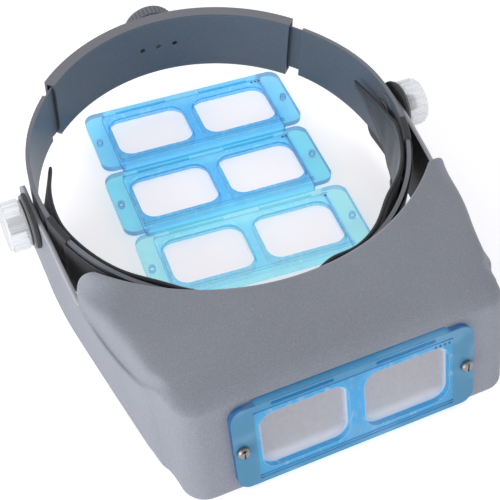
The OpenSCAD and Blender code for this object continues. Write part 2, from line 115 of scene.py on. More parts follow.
class Nodes:
    """A small helper that adds and links shader nodes in one material."""

    def __init__(self, name):
        self.material = bpy.data.materials.new(name)
        self.material.use_nodes = True
        self.tree = self.material.node_tree
        self.tree.nodes.clear()
        self.output = self.add("ShaderNodeOutputMaterial")

    def add(self, kind, **values):
        """Adds a node and sets its properties or inputs by name."""
        node = self.tree.nodes.new(kind)
        for key, value in values.items():
            if hasattr(node, key):
                setattr(node, key, value)
            else:
                node.inputs[key.replace("_", " ")].default_value = value
        return node

    def link(self, source, target):
        self.tree.links.new(source, target)

    def feed(self, value, target):
        """Links a socket, or sets a plain number or colour."""
        if isinstance(value, bpy.types.NodeSocket):
            self.link(value, target)
        elif isinstance(value, (tuple, list)):
            target.default_value = colour(value)
        else:
            target.default_value = value

    def coords(self):
        return self.add("ShaderNodeTexCoord").outputs["Object"]

    def noise(self, scale, detail=3.0, stretch=None, rough=0.5):
        """Noise in object space, from 0 to 1."""
        node = self.add("ShaderNodeTexNoise", Scale=scale, Detail=detail, Roughness=rough)
        place_in = self.coords()
        if stretch:
            mapping = self.add("ShaderNodeMapping")
            mapping.inputs["Scale"].default_value = stretch
            self.link(place_in, mapping.inputs["Vector"])
            place_in = mapping.outputs["Vector"]
        self.link(place_in, node.inputs["Vector"])
        return node.outputs["Fac"]

    def cells(self, scale):
        node = self.add("ShaderNodeTexVoronoi", Scale=scale)
        node.feature = "SMOOTH_F1"
        self.link(self.coords(), node.inputs["Vector"])
        return node.outputs["Distance"]

    def ramp(self, source, stops):
        """A colour ramp over the given stops."""
        node = self.add("ShaderNodeValToRGB")
        elements = node.color_ramp.elements
        elements[0].position, elements[0].color = stops[0][0], colour(stops[0][1])
        elements[1].position, elements[1].color = stops[-1][0], colour(stops[-1][1])
        for position, value in stops[1:-1]:
            elements.new(position).color = colour(value)
        self.link(source, node.inputs["Fac"])
        return node.outputs["Color"]

    def fade(self, value, start, end):
        """0 at start and 1 at end, smoothly."""
        node = self.add("ShaderNodeMapRange", interpolation_type="SMOOTHSTEP")
        self.feed(value, node.inputs["Value"])
        node.inputs["From Min"].default_value = start
        node.inputs["From Max"].default_value = end
        return node.outputs["Result"]

    def mix(self, factor, a, b):
        node = self.add("ShaderNodeMix", data_type="RGBA")
        self.feed(factor, node.inputs[0])
        self.feed(a, node.inputs[6])
        self.feed(b, node.inputs[7])
        return node.outputs[2]

    def math(self, operation, a, b=0.0, clamp=False):
        node = self.add("ShaderNodeMath", operation=operation, use_clamp=clamp)
        self.feed(a, node.inputs[0])
        self.feed(b, node.inputs[1])
        return node.outputs[0]

    def dot(self, source, direction):
        node = self.add("ShaderNodeVectorMath", operation="DOT_PRODUCT")
        self.link(source, node.inputs[0])
        node.inputs[1].default_value = tuple(direction)
        return node.outputs["Value"]

    def lit_top_mask(self):
        """1 on faces that look straight up in the part's own frame, and 0 on upright ones; it marks where light
        from above is painted.
        """
        return self.fade(self.dot(self.add("ShaderNodeTexCoord").outputs["Normal"], (0, 0, 1)), 0.3, 0.95)

    def bump(self, height, strength, distance, under=None):
        """A bumped normal, over another one if given."""
        node = self.add("ShaderNodeBump", Strength=strength, Distance=distance)
        self.link(height, node.inputs["Height"])
        if under:
            self.link(under, node.inputs["Normal"])
        return node.outputs["Normal"]

    def edges(self, radius):
        """0 on flat places and rising on sharp edges."""
        bevel = self.add("ShaderNodeBevel", Radius=radius)
        bevel.samples = 4
        geometry = self.add("ShaderNodeNewGeometry")
        dot = self.add("ShaderNodeVectorMath", operation="DOT_PRODUCT")
        self.link(bevel.outputs["Normal"], dot.inputs[0])
        self.link(geometry.outputs["True Normal"], dot.inputs[1])
        return self.math("SUBTRACT", 1.0, dot.outputs["Value"], clamp=True)

    def mix_shaders(self, factor, a, b):
        node = self.add("ShaderNodeMixShader")
        self.feed(factor, node.inputs[0])
        self.link(a, node.inputs[1])
        self.link(b, node.inputs[2])
        return node.outputs["Shader"]

    def surface(self, shader):
        self.link(shader, self.output.inputs["Surface"])
        return self.material

    def principled(self, colour_in, roughness, normal=None, **values):
        """A Principled shader's output socket."""
        node = self.add("ShaderNodeBsdfPrincipled")
        self.feed(colour_in, node.inputs["Base Color"])
        self.feed(roughness, node.inputs["Roughness"])
        if normal:
            self.link(normal, node.inputs["Normal"])
        for key, value in values.items():
            self.feed(value, node.inputs[key.replace("_", " ")])
        return node.outputs["BSDF"]


def colour(value):
    """The colour as four components."""
    return tuple(value) if len(value) == 4 else (*value, 1.0)


# ---------- materials ----------

NAVY = (0.012, 0.085, 0.42)
PALE_SHADOW = (0.80, 0.93, 0.99)

def moulded_plastic(name, dark, light, grain_mm, roughness, depth, edge_highlight=0.5, top=None, highlight_radius=0.5):
    """Moulded plastic with a fine pebbled grain and slight mottling; its sharp edges are painted paler as a
    highlight, and its faces that look up can be painted lighter as light from above.
    """
    n = Nodes(name)
    pebbles = n.cells(1 / (grain_mm * MM))
    speckle = n.noise(1.3 / (grain_mm * MM), 2.5)
    cloud = n.noise(18.0, 4.0)
    base = n.mix(n.ramp(cloud, [(0.3, (0, 0, 0)), (0.7, (1, 1, 1))]), dark, light)
    # painted light: faces that look up take the lighter top colour, as if lit from above
    if top:
        base = n.mix(n.lit_top_mask(), base, top)
    fleck = n.fade(speckle, 0.35, 0.75)
    base = n.mix(n.math("MULTIPLY", fleck, 0.09), base, (0.8, 0.8, 0.85))
    # painted highlight: sharp edges turn paler, as if light caught them
    paler = tuple(min(1.0, c * 1.5 + 0.05) for c in light)
    base = n.mix(n.math("MULTIPLY", n.edges(highlight_radius * MM), edge_highlight * 3, clamp=True), base, paler)
    rough = n.math("ADD", roughness - 0.08, n.math("MULTIPLY", speckle, 0.16))
    grain = n.bump(pebbles, 0.6, depth * MM)
    grain = n.bump(speckle, 0.35, depth * 0.8 * MM, grain)
    return n.surface(n.principled(base, rough, grain, Specular_IOR_Level=0.4))


def leatherette(name):
    """Black padded sleeve cloth with a fine creased grain and a soft sheen."""
    n = Nodes(name)
    grain = n.cells(1 / (0.9 * MM))
    creases = n.noise(260.0, 5.0, (1.0, 1.0, 2.5))
    cloud = n.noise(30.0, 3.0)
    base = n.mix(cloud, (0.020, 0.020, 0.024), (0.045, 0.046, 0.053))
    rough = n.math("ADD", 0.45, n.math("MULTIPLY", creases, 0.2))
    normal = n.bump(grain, 0.5, 0.12 * MM)
    normal = n.bump(creases, 0.4, 0.3 * MM, normal)
    return n.surface(n.principled(base, rough, normal, Sheen_Weight=0.35, Sheen_Roughness=0.35,
                                  Specular_IOR_Level=0.45))


def metal(name, tint, roughness, scratch=60.0):
    """Turned metal with fine tool marks and slight tarnish."""
    n = Nodes(name)
    marks = n.noise(2500.0, 2.0, (1.0, 1.0, 0.1))
    tarnish = n.noise(scratch, 4.0)
    dull = tuple(c * 0.7 for c in tint)
    base = n.mix(n.ramp(tarnish, [(0.35, (0, 0, 0)), (0.75, (1, 1, 1))]), tint, dull)
    rough = n.math("ADD", roughness, n.math("MULTIPLY", marks, 0.18))
    return n.surface(n.principled(base, rough, n.bump(marks, 0.15, 0.03 * MM), Metallic=1.0))


def see_through(n, tint, body, clear, roughness, normal, shadow):
    """Clear moulding without bending of light: part tinted view, part milky body, and a glossy skin."""
    passing = n.add("ShaderNodeBsdfTransparent")
    n.feed(tint, passing.inputs["Color"])
    milky = n.add("ShaderNodeBsdfDiffuse", Roughness=0.2)
    n.feed(body, milky.inputs["Color"])
    glow = n.add("ShaderNodeBsdfTranslucent")
    n.feed(body, glow.inputs["Color"])
    core = n.mix_shaders(0.4, milky.outputs["BSDF"], glow.outputs["BSDF"])
    core = n.mix_shaders(clear, core, passing.outputs["BSDF"])
    skin = n.add("ShaderNodeBsdfAnisotropic", Roughness=roughness, Color=(1, 1, 1, 1))
    n.link(normal, skin.inputs["Normal"])
    fresnel = n.add("ShaderNodeFresnel", IOR=1.47)
    n.link(normal, fresnel.inputs["Normal"])
    front = n.math("SUBTRACT", 1.0, n.add("ShaderNodeNewGeometry").outputs["Backfacing"])
    shine = n.math("MULTIPLY", n.math("MULTIPLY", fresnel.outputs["Fac"], 0.7, clamp=True), front)
    whole = n.mix_shaders(shine, core, skin.outputs["BSDF"])
    light_through = n.add("ShaderNodeBsdfTransparent")
    n.feed(shadow, light_through.inputs["Color"])
    casting = n.add("ShaderNodeLightPath").outputs["Is Shadow Ray"]
    return n.mix_shaders(casting, whole, light_through.outputs["BSDF"])


def plate_frame_of(kind):
    """Centre, long direction, short direction and outward direction of one lens plate."""
    if kind == "mounted":
        a, b = (Vector(JOINTS["lens_screw_turn_" + side]["pos_m"]) / MM for side in ("left", "right"))
        return (a + b) / 2, (b - a).normalized(), OUTWARD.cross(Vector((1, 0, 0))), OUTWARD
    a, b = (MOUNTS[f"spare_{kind}_hole_{side}"] for side in ("left", "right"))
    along = (b - a).normalized()
    return (a + b) / 2, along, Vector((0, 0, 1)).cross(along), Vector((0, 0, 1))


def plate_places(n, kind):
    """Distances in millimetres along and across one plate from its centre, and its outward direction."""
    centre, along, across, outward = plate_frame_of(kind)
    point = n.coords()
    x = n.math("SUBTRACT", n.math("MULTIPLY", n.dot(point, along), 1 / MM), centre.dot(along))
    y = n.math("SUBTRACT", n.math("MULTIPLY", n.dot(point, across), 1 / MM), centre.dot(across))
    return x, y, outward


def window_distance(n, x, y):
    """Distance outside the rounded edge of the nearer window."""
    from_centre = n.math("SUBTRACT", n.math("ABSOLUTE", x), LENS_PITCH / 2)
    over_x = n.math("SUBTRACT", n.math("ABSOLUTE", from_centre), WINDOW_W / 2 - WINDOW_R)
    over_y = n.math("SUBTRACT", n.math("ABSOLUTE", y), WINDOW_H / 2 - WINDOW_R)
    square = n.math("ADD", n.math("POWER", n.math("MAXIMUM", over_x, 0.0), 2.0),
                    n.math("POWER", n.math("MAXIMUM", over_y, 0.0), 2.0))
    return n.math("SUBTRACT", n.math("SQRT", square), WINDOW_R)


def coloured_acrylic(name, kind, pale, deep, navy, clear, outlined):
    """Blue acrylic: pale over the thin tabs and strips, deep round the windows, navy end walls; with painted
    glints and painted edge lines.
    """
    n = Nodes(name)
    x, y, outward = plate_places(n, kind)
    reach_x = n.math("ABSOLUTE", x)
    tab = n.fade(reach_x, 45.2, 46.2)
    strip = n.fade(n.math("ABSOLUTE", y), 17.0, 18.4)
    near = n.math("SUBTRACT", 1.0, n.fade(window_distance(n, x, y), 0.0, 7.0))
    cloud = n.noise(120.0, 3.0, (1.0, 1.0, 0.3))
    middle = n.math("MULTIPLY", n.math("SUBTRACT", 1.0, tab), n.math("SUBTRACT", 1.0, strip))
    depth = n.math("MULTIPLY", middle, n.math("ADD", 0.45, n.math("MULTIPLY", near, 0.5)))
    depth = n.math("ADD", depth, n.math("MULTIPLY", n.math("SUBTRACT", cloud, 0.5), 0.3), clamp=True)
    base = n.mix(depth, pale, deep)
    facing = n.math("ABSOLUTE", n.dot(n.add("ShaderNodeTexCoord").outputs["Normal"], outward))
    wall = n.math("SUBTRACT", 1.0, n.fade(facing, 0.25, 0.75))
    end_wall = n.math("MULTIPLY", wall, n.fade(reach_x, 43.5, 45.5))
    base = n.mix(n.math("MULTIPLY", wall, 0.25), base, deep)
    base = n.mix(n.math("MULTIPLY", end_wall, 0.85), base, navy)
    # painted glints: light flecks near the window rims and over the deeper parts
    glint = n.fade(n.noise(420.0, 3.0, (1.0, 1.0, 0.5), 0.65), 0.52, 0.68)
    rim = n.math("SUBTRACT", 1.0, n.fade(window_distance(n, x, y), 0.8, 2.6))
    glint = n.math("MULTIPLY", n.math("MAXIMUM", rim, n.math("MULTIPLY", depth, 0.5)), glint)
    streak = n.fade(n.noise(150.0, 2.0, (0.25, 1.0, 0.25), 0.6), 0.5, 0.66)
    base = n.mix(n.math("MULTIPLY", streak, 0.35), base, tuple(0.3 + 0.65 * c for c in deep))
    base = n.mix(n.math("MULTIPLY", glint, 0.85), base, tuple(0.4 + 0.6 * c for c in pale))
    # painted edge lines: a pale highlight at the window rims and a dark line of shade on the other edges
    edge = n.math("MULTIPLY", n.edges(0.6 * MM), 2.0, clamp=True)
    at_window = n.math("SUBTRACT", 1.0, n.fade(window_distance(n, x, y), 0.9, 1.6))
    line = n.mix(at_window, tuple((a + b) / 2 for a, b in zip(deep, navy)), (0.75, 0.95, 1.0))
    base = n.mix(n.math("MULTIPLY", edge, outlined), base, line)
    tint = n.mix(0.6, (1, 1, 1), base)
    ripple = n.noise(90.0, 2.0)
    normal = n.bump(ripple, 0.12, 0.25 * MM)
    return n.surface(see_through(n, tint, base, clear, 0.1, normal, PALE_SHADOW))


def lens_acrylic(name, kind, tint, haze, painted_edge_light):
    """A clear lens with a little dust and haze over it; a brighter band round its rim and along its lower edge is
    painted light.
    """
    n = Nodes(name)
    x, y, _ = plate_places(n, kind)
    dust = n.noise(400.0, 4.0)
    inside = n.math("MULTIPLY", window_distance(n, x, y), -1.0)
    # painted light: a brighter band round the rim and along the lower edge
    rim = n.math("SUBTRACT", 1.0, n.fade(inside, 0.0, 2.2))
    low = n.math("SUBTRACT", 1.0, n.fade(y, -15.0, -7.5))
    haze_and_painted_light = n.math("ADD", haze, n.math("MULTIPLY", n.math("MAXIMUM", low, rim), painted_edge_light))
    haze_and_painted_light = n.math("ADD", haze_and_painted_light, n.math("MULTIPLY", dust, haze * 0.5), clamp=True)
    clear = n.math("SUBTRACT", 1.0, haze_and_painted_light)
    normal = n.bump(n.noise(50.0, 1.0), 0.05, 0.2 * MM)
    return n.surface(see_through(n, tint, (0.93, 0.93, 0.96), clear, 0.06, normal, (0.985, 0.985, 0.99)))


def clear_knob(name):
    """Clear ribbed acrylic, milky white in the mass and grey where it is seen edge on."""
    n = Nodes(name)
    facing = n.add("ShaderNodeLayerWeight", Blend=0.4).outputs["Facing"]
    edge = n.math("MULTIPLY", n.edges(0.5 * MM), 2.0, clamp=True)
    shade = n.math("MAXIMUM", n.fade(facing, 0.55, 0.95), edge)
    base = n.mix(shade, (0.93, 0.94, 0.95), (0.45, 0.46, 0.48))
    tint = n.mix(shade, (0.95, 0.96, 0.97), (0.62, 0.63, 0.65))
    normal = n.bump(n.noise(300.0, 2.0), 0.1, 0.15 * MM)
    return n.surface(see_through(n, tint, base, 0.52, 0.05, normal, (0.93, 0.93, 0.94)))


def floor_material():
    """A plain pale sweep with the faintest unevenness and a little glow of its own."""
    n = Nodes("floor")
    cloud = n.noise(3.0, 2.0)
    base = n.mix(cloud, (0.80, 0.795, 0.815), (0.82, 0.815, 0.83))
    return n.surface(n.principled(base, 0.9, Specular_IOR_Level=0.1, Emission_Color=(1.0, 0.99, 1.0),
                                  Emission_Strength=0.47))


MATERIALS = {
    # the visor's sharp edges get a strong painted highlight
    "visor": moulded_plastic("visor_grey", (0.202, 0.214, 0.252), (0.230, 0.243, 0.281), 0.75, 0.62, 0.13,
                             1.0, highlight_radius=1.0),
    # the rim is painted paler than the shell, as a highlight along the cut edge
    "visor_rim": moulded_plastic("visor_rim_painted_highlight", (0.36, 0.36, 0.39), (0.42, 0.42, 0.45),
                                 0.5, 0.5, 0.04),
    "visor_inside": moulded_plastic("visor_inside_black", (0.012, 0.012, 0.014), (0.02, 0.02, 0.023),
                                    0.5, 0.6, 0.08, 0.1),
    # the band's faces that look up are painted lighter, as light from above
    "band": moulded_plastic("band_grey", (0.055, 0.073, 0.098), (0.068, 0.086, 0.112), 0.35, 0.42, 0.03,
                            top=(0.17, 0.172, 0.195)),
    "sleeve": leatherette("sleeve_black"),
    "rubber": moulded_plastic("rubber_black", (0.012, 0.012, 0.012), (0.022, 0.022, 0.022),
                              0.4, 0.7, 0.05, 0.2),
    "disc": moulded_plastic("disc_grey", (0.11, 0.112, 0.12), (0.14, 0.142, 0.15), 0.4, 0.4, 0.02),
    "black": moulded_plastic("black_plastic", (0.014, 0.014, 0.015), (0.025, 0.025, 0.026),
                             0.4, 0.35, 0.02, 0.3),
    # near black: painted shade where the pinion's end shows in the housing as a dark dot
    "gear": moulded_plastic("gear_nylon", (0.022, 0.022, 0.024), (0.035, 0.035, 0.038), 0.4, 0.45, 0.02),
    "steel": metal("bright_steel", (0.60, 0.59, 0.58), 0.22),
    # darker than the bright steel; on the pivot studs this darkness is painted shade behind the sleeve's leaf
    "screw": metal("plated_steel_and_painted_shade", (0.34, 0.33, 0.33), 0.3),
    # black steel; on the housing screws it is painted shade for their dark holes
    "dark_steel": metal("blackened_steel_and_painted_shade", (0.045, 0.045, 0.05), 0.4),
    "core": metal("knob_core_metal", (0.16, 0.15, 0.15), 0.3),
    "brass": metal("turned_brass", (0.62, 0.48, 0.27), 0.22),
    "knob": clear_knob("knob_clear"),
    "mark": moulded_plastic("mark_ink", (0.010, 0.03, 0.10), (0.016, 0.04, 0.12), 0.3, 0.5, 0.01),
    "blue_mounted": coloured_acrylic("plate_blue_mounted", "mounted", (0.13, 0.40, 0.59),
                                     (0.10, 0.53, 0.84), (0.01, 0.10, 0.36), 0.22, 1.0),
    "blue_rear": coloured_acrylic("plate_blue_rear", "rear", (0.30, 0.82, 1.0), (0.09, 0.64, 0.98),
                                  NAVY, 0.78, 0.55),
    "blue_middle": coloured_acrylic("plate_blue_middle", "middle", (0.36, 0.90, 1.0),
                                    (0.07, 0.64, 0.98), NAVY, 0.80, 0.55),
    "cyan_front": coloured_acrylic("plate_cyan_front", "front", (0.60, 0.98, 1.0), (0.30, 0.82, 1.0),
                                   (0.02, 0.36, 0.78), 0.84, 0.45),
    # the mounted lens is tinted grey as painted shade for the dark inside of the visor, with strong painted light
    # along its lower edge and rim
    "lens_mounted": lens_acrylic("lens_mounted", "mounted", (0.64, 0.63, 0.66), 0.17, 0.60),
}
for spare in ("rear", "middle", "front"):
    MATERIALS["lens_" + spare] = lens_acrylic("lens_" + spare, spare, (0.995, 0.99, 1.0), 0.015, 0.10)


# ---------- mesh helpers ----------

def new_object(name, vertices, faces, materials, indices=None):
    """A smooth-shaded mesh object from points in millimetres."""
    mesh = bpy.data.meshes.new(name)
    mesh.from_pydata([tuple(c * MM for c in v) for v in vertices], [], faces)
    for key in materials:
        mesh.materials.append(MATERIALS[key])
    if indices is not None:
        mesh.polygons.foreach_set("material_index", indices)
    mesh.polygons.foreach_set("use_smooth", [True] * len(mesh.polygons))
    mesh.validate()
    made = bpy.data.objects.new(name, mesh)
    bpy.context.scene.collection.objects.link(made)
    return made


def face_outward(made):
    """Turns every face's normal outward."""
    work = bmesh.new()
    work.from_mesh(made.data)
    bmesh.ops.remove_doubles(work, verts=work.verts, dist=0.01 * MM)
    bmesh.ops.recalc_face_normals(work, faces=work.faces)
    work.to_mesh(made.data)
    work.free()


def bake(made):
    """Applies every modifier."""
    depsgraph = bpy.context.evaluated_depsgraph_get()
    mesh = bpy.data.meshes.new_from_object(made.evaluated_get(depsgraph))
    made.modifiers.clear()
    made.data = mesh


def join(name, parts):
    """One object that holds the meshes of all the parts."""
    work = bmesh.new()
    for part in parts:
        work.from_mesh(part.data)
    mesh = bpy.data.meshes.new(name)
    work.to_mesh(mesh)
    work.free()
    for material in parts[0].data.materials:
        mesh.materials.append(material)
    for part in parts:
        bpy.data.objects.remove(part)
    made = bpy.data.objects.new(name, mesh)
    bpy.context.scene.collection.objects.link(made)
    mesh.polygons.foreach_set("use_smooth", [True] * len(mesh.polygons))
    return made


def soften(made, width, angle=35.0, segments=2):
    """Rounds the sharp edges of a hard part and shades it smoothly."""
    weld = made.modifiers.new("weld", "WELD")
    weld.merge_threshold = 0.002 * MM
    flat = made.modifiers.new("flat", "DECIMATE")
    flat.decimate_type = "DISSOLVE"
    flat.angle_limit = math.radians(0.6)
    bevel = made.modifiers.new("bevel", "BEVEL")
    bevel.width = width * MM
    bevel.segments = segments
    bevel.limit_method = "ANGLE"
    bevel.angle_limit = math.radians(angle)
    bevel.harden_normals = False
    custom = made.data.attributes.get("custom_normal")
    if custom:
        made.data.attributes.remove(custom)
    made.data.polygons.foreach_set("use_smooth", [True] * len(made.data.polygons))
    smooth = made.modifiers.new("normals", "WEIGHTED_NORMAL")
    smooth.keep_sharp = False
    return made


def dress(node, key, width=0.25, angle=35.0):
    """Gives a CAD node its material and rounded edges."""
    made = frame["nodes"][node]
    made.data.materials.clear()
    made.data.materials.append(MATERIALS[key])
    return soften(made, width, angle)


def smooth_step(t):
    """An eased step from 0 to 1 as t goes from 0 to 1."""
    t = min(1.0, max(0.0, t))
    return t * t * (3 - 2 * t)


def ramp_between(value, start, end):
    """Eased from 0 at start to 1 at end."""
    return smooth_step((value - start) / (end - start))


def hump(value, middle, spread):
    """A bell curve that is 1 at the middle."""
    return math.exp(-((value - middle) / spread) ** 2)


def on_band(x, v, w):
    """A point in the headband's tilted frame: v backwards and w up from the pivot axis."""
    c, s = math.cos(TILT), math.sin(TILT)
    return Vector((x, PIVOT.y + v * c - w * s, PIVOT.z + v * s + w * c))


def on_ring(degrees, radius, w):
    """A point by its angle round the ring, 0 at +X and 90 at the back."""
    a = math.radians(degrees)
    return on_band(radius * math.cos(a), RING_BACK + radius * math.sin(a), w)


def ring_place(point):
    """Angle, radius and height of a point in the ring's frame, the inverse of on_ring."""
    c, s = math.cos(TILT), math.sin(TILT)
    dy, dz = point.y - PIVOT.y, point.z - PIVOT.z
    v, w = dy * c + dz * s, -dy * s + dz * c
    return math.degrees(math.atan2(v - RING_BACK, point.x)) % 360, math.hypot(point.x, v - RING_BACK), w


# ---------- visor ----------

FRONT_X = 77.1
CORNER_R = 11.0
OUTLINE = [(ARM_X, ARM_BACK + 60), (ARM_X, PIVOT.y - 18), (ARM_X - 1, PIVOT.y - 32),
           (82.6, FRONT_Y + 28.0), (82.0, FRONT_Y + 25.4), (80.6, FRONT_Y + 22.6), (79.0, FRONT_Y + 20.6),
           (77.9, FRONT_Y + 16.5), (FRONT_X, FRONT_Y + CORNER_R)]
# Arc from the front face up to the top, as angles from the vertical
FRONT_ARC = [57.8, 50, 42, 34, 26, 18, 11, 5]
# From the top of the side wall over the shoulder and valley up to the panel:
# depth, height over the wall's top, and share of the panel's rise
SIDE_OUT = [(0.15, -1.6, 0), (0.75, -0.45, 0), (1.7, -0.2, 0), (2.6, -0.45, 0),
            (3.1, -0.1, 0.24), (3.7, 0, 0.62), (4.9, 0, 0.9), (7.8, 0, 1.0)]
SIDE_IN = [(2.4, -3.6, 0), (2.8, -2.9, 0), (3.3, -2.5, 0), (4.3, -2.4, 0),
           (5.5, -2.3, 0.2), (6.4, -2.3, 0.56), (7.9, -2.4, 0.86), (9.9, -2.3, 1.0)]
LOW_ROWS = 3
TOP_ROWS = 11
CROWN_RISE = 0.1105
FOOT_RISE = 3.4
FOOT_SWEEP = 6.0
ARM_DIP = 6.5
GROOVE_FALL = 6.0
ARM_BOW = 4.1
BOW_MIDDLE = 76
BOW_SPREAD = 38
# Stretches of the arm's upper edge, as distances in front of the pivot
DIP_RUN = (8, 58)
GROOVE_RUN = (92, 142)
# How much further the handles of an ear's curve reach outward, for a reach of 1
EAR_REACH = 4.5
NOTCH_REACH = 2.0
RIGHT_REACH = 1.0
LEFT_REACH = 0.0


def ahead(y):
    """Distance in front of the pivot axis."""
    return PIVOT.y - y


def wall_x(plan_y):
    """Half width of the side wall where the leaning column meets the table at plan_y."""
    for (x0, y0), (x1, y1) in zip(OUTLINE, OUTLINE[1:]):
        if plan_y >= y1:
            return x1 + (x0 - x1) * (plan_y - y1) / (y0 - y1)
    return OUTLINE[-1][0]


def top_height(x, y):
    """Height of the raised top panel: it slopes down to the front and is crowned across."""
    start = math.radians(FRONT_ARC[-1])
    front_top = EDGE_Z + EDGE_R * math.cos(start)
    knee = CUTOUT_Y - CUTOUT_R
    if y < knee:
        ridge = front_top + CROWN_RISE * (y - (EDGE_Y - EDGE_R * math.sin(start)))
    else:
        ridge = front_top + CROWN_RISE * (knee - EDGE_Y + EDGE_R * math.sin(start)) + 0.06 * (y - knee)
    return ridge - (0.8 + 0.5 * ramp_between(-ahead(y), -128, -54)) * (x / 81.0) ** 2


def wall_top(y):
    """Height of the side wall's upper edge, with its rounded back corner."""
    if y > ARM_BACK - ARM_CORNER:
        return ARM_TOP - ARM_CORNER + corner_arc(y)
    dip = ARM_DIP * ramp_between(ahead(y), *DIP_RUN)
    return ARM_TOP - dip - GROOVE_FALL * ramp_between(ahead(y), *GROOVE_RUN)


def wall_foot(y):
    """Height of the side wall's lower edge: rounded behind, rising to a soft notch in front."""
    if y > ARM_BACK - ARM_CORNER:
        return FOOT_SWEEP + ARM_CORNER - corner_arc(y)
    rise = FOOT_RISE * ramp_between(ahead(y), 20, 112) + FOOT_SWEEP * (1 - ramp_between(ahead(y), -6, 52))
    notch = 1.2 * ramp_between(ahead(y), 113, 119)
    return (rise + notch) * (1 - ramp_between(ahead(y), 119.5, 124.5))


def corner_arc(y):
    """Height of the arm's rounded back corner at y."""
    return math.sqrt(max(0.0, ARM_CORNER ** 2 - (y - ARM_BACK + ARM_CORNER) ** 2))


def plan_points():
    """Points round the right half of the visor's outline, from the back of the arm to the middle."""
    ys = [ARM_BACK - ARM_CORNER * (1 - math.cos(math.radians(a))) for a in range(0, 91, 15)]
    ys += list(np.linspace(ARM_BACK - 10, EAR_Y + 4, 20))
    arms = len(ys)
    ys += list(np.linspace(EAR_Y + 1.5, EAR_Y - 8, 7))
    ys += list(np.linspace(EAR_Y - 11, FRONT_Y + 31.5, 13))
    ys += list(np.linspace(FRONT_Y + 30, FRONT_Y + 12.5, 14))
    flat = [("side", y) for y in ys]
    flat += [("corner", a) for a in range(0, 91, 10)]
    across = (62.5, 59, 55.5, 52.3, 49.3, NOTCH_X, 43, 39, 34, 28.5, 22.5, 16, 10, 5, 0)
    flat += [("front", x) for x in across]
    return flat, arms


def lean_at(plan_y):
    """Columns stand upright behind and lean back in front."""
    return LEAN * ramp_between(ahead(plan_y), 66, 112)


def front_profile(radius):
    """Depth behind the leaning front plane and height, round the arc from front face to top."""
    points = []
    for t in FRONT_ARC:
        z = EDGE_Z + radius * math.cos(math.radians(t))
        y = EDGE_Y - radius * math.sin(math.radians(t))
        points.append((y - FRONT_Y - z * LEAN, z))
    return points


def place(kind, value, depth, z):
    """A point of the visor's side, corner or front, some depth inside its outer surface."""
    if kind == "side":
        y = value + z * lean_at(value)
        fade = ramp_between(ahead(value), 16, 34)
        bow = ARM_BOW * hump(ahead(value), BOW_MIDDLE, BOW_SPREAD) * fade * z / ARM_TOP
        return Vector((wall_x(y - z * LEAN) + bow - depth, y, z))
    if kind == "corner":
        a = math.radians(value)
        r = CORNER_R - depth
        centre = FRONT_X - CORNER_R
        return Vector((centre + r * math.cos(a), FRONT_Y + CORNER_R - r * math.sin(a) + z * LEAN, z))
    return Vector((value, FRONT_Y + depth + z * LEAN, z))


def profile(kind, value, outside):
    """(depth, height) up one column, from the rim to where the top panel starts."""
    depth = 0.0 if outside else WALL
    y = value + PANEL_Z * lean_at(value) if kind == "side" else FRONT_Y
    foot = wall_foot(value) if kind == "side" else 0.0
    top = wall_top(y)
    valley = ramp_between(value, FRONT_Y + 11, FRONT_Y + 46) if kind == "side" else 0.0
    knee = (top - (2.6 if outside else 4.4)) * valley + 40.0 * (1 - valley)
    rows = [(depth, foot), (depth, foot + 1.2), (depth, (foot + knee) / 2)]
    front = front_profile(EDGE_R if outside else EDGE_R - WALL)
    for (d, dz, share), (fd, fz) in zip(SIDE_OUT if outside else SIDE_IN, front):
        at = place(kind, value, d, top)
        panel = top_height(at.x, at.y)
        z = top + dz + (panel - top) * share
        squeeze = (panel - KNEE_Z) / (front[-1][1] - KNEE_Z + (0 if outside else WALL))
        fz = KNEE_Z + (fz - KNEE_Z) * squeeze if fz > KNEE_Z else fz
        rows.append((d * valley + fd * (1 - valley), z * valley + fz * (1 - valley)))
    return rows


def arm_profile(value, outside):
    """(depth, height) up one column of the arm behind the ear."""
    foot, top = wall_foot(value), wall_top(value)
    depth = 0.0 if outside else WALL
    low = min(1.2, (top - foot) * 0.1)
    middle = (foot + top) / 2
    return [(depth, z) for z in (foot, foot + low, middle, top - low, top)]


def cut_out_y(x):
    """Where the round brow cut-out meets the panel at x."""
    return CUTOUT_Y - math.sqrt(CUTOUT_R ** 2 - x * x)


def ear_curve(u, start, outside, reach):
    """The ear's rounded edge, from the bottom of the notch beside the arm to the brow cut-out."""
    end = Vector((EAR_X, cut_out_y(EAR_X), top_height(EAR_X, cut_out_y(EAR_X))))
    near_start = start + Vector((NOTCH_REACH * reach - 1.5, 6.5, 5.0))
    near_end = end + Vector((8.0 + EAR_REACH * reach, 2.8, 0.3))
    v = 1 - u
    p = start * v ** 3 + near_start * 3 * u * v ** 2 + near_end * 3 * u * u * v + end * u ** 3
    if not outside:
        a = math.radians(90 * u)
        p += Vector((-WALL * math.cos(a), 0, -WALL * math.sin(a)))
    return p


def panel_points(last, share, outside):
    """Points from the top of one column back to the brow cut-out."""
    end_x = EAR_X * (1 - share)
    end = Vector((end_x, cut_out_y(end_x), 0))
    points = []
    for k in range(1, TOP_ROWS + 1):
        u = k / TOP_ROWS
        p = last.lerp(end, u * (2 - u) * 0.35 + u * 0.65)
        points.append(Vector((p.x, p.y, top_height(p.x, p.y) - (0 if outside else WALL))))
    return points


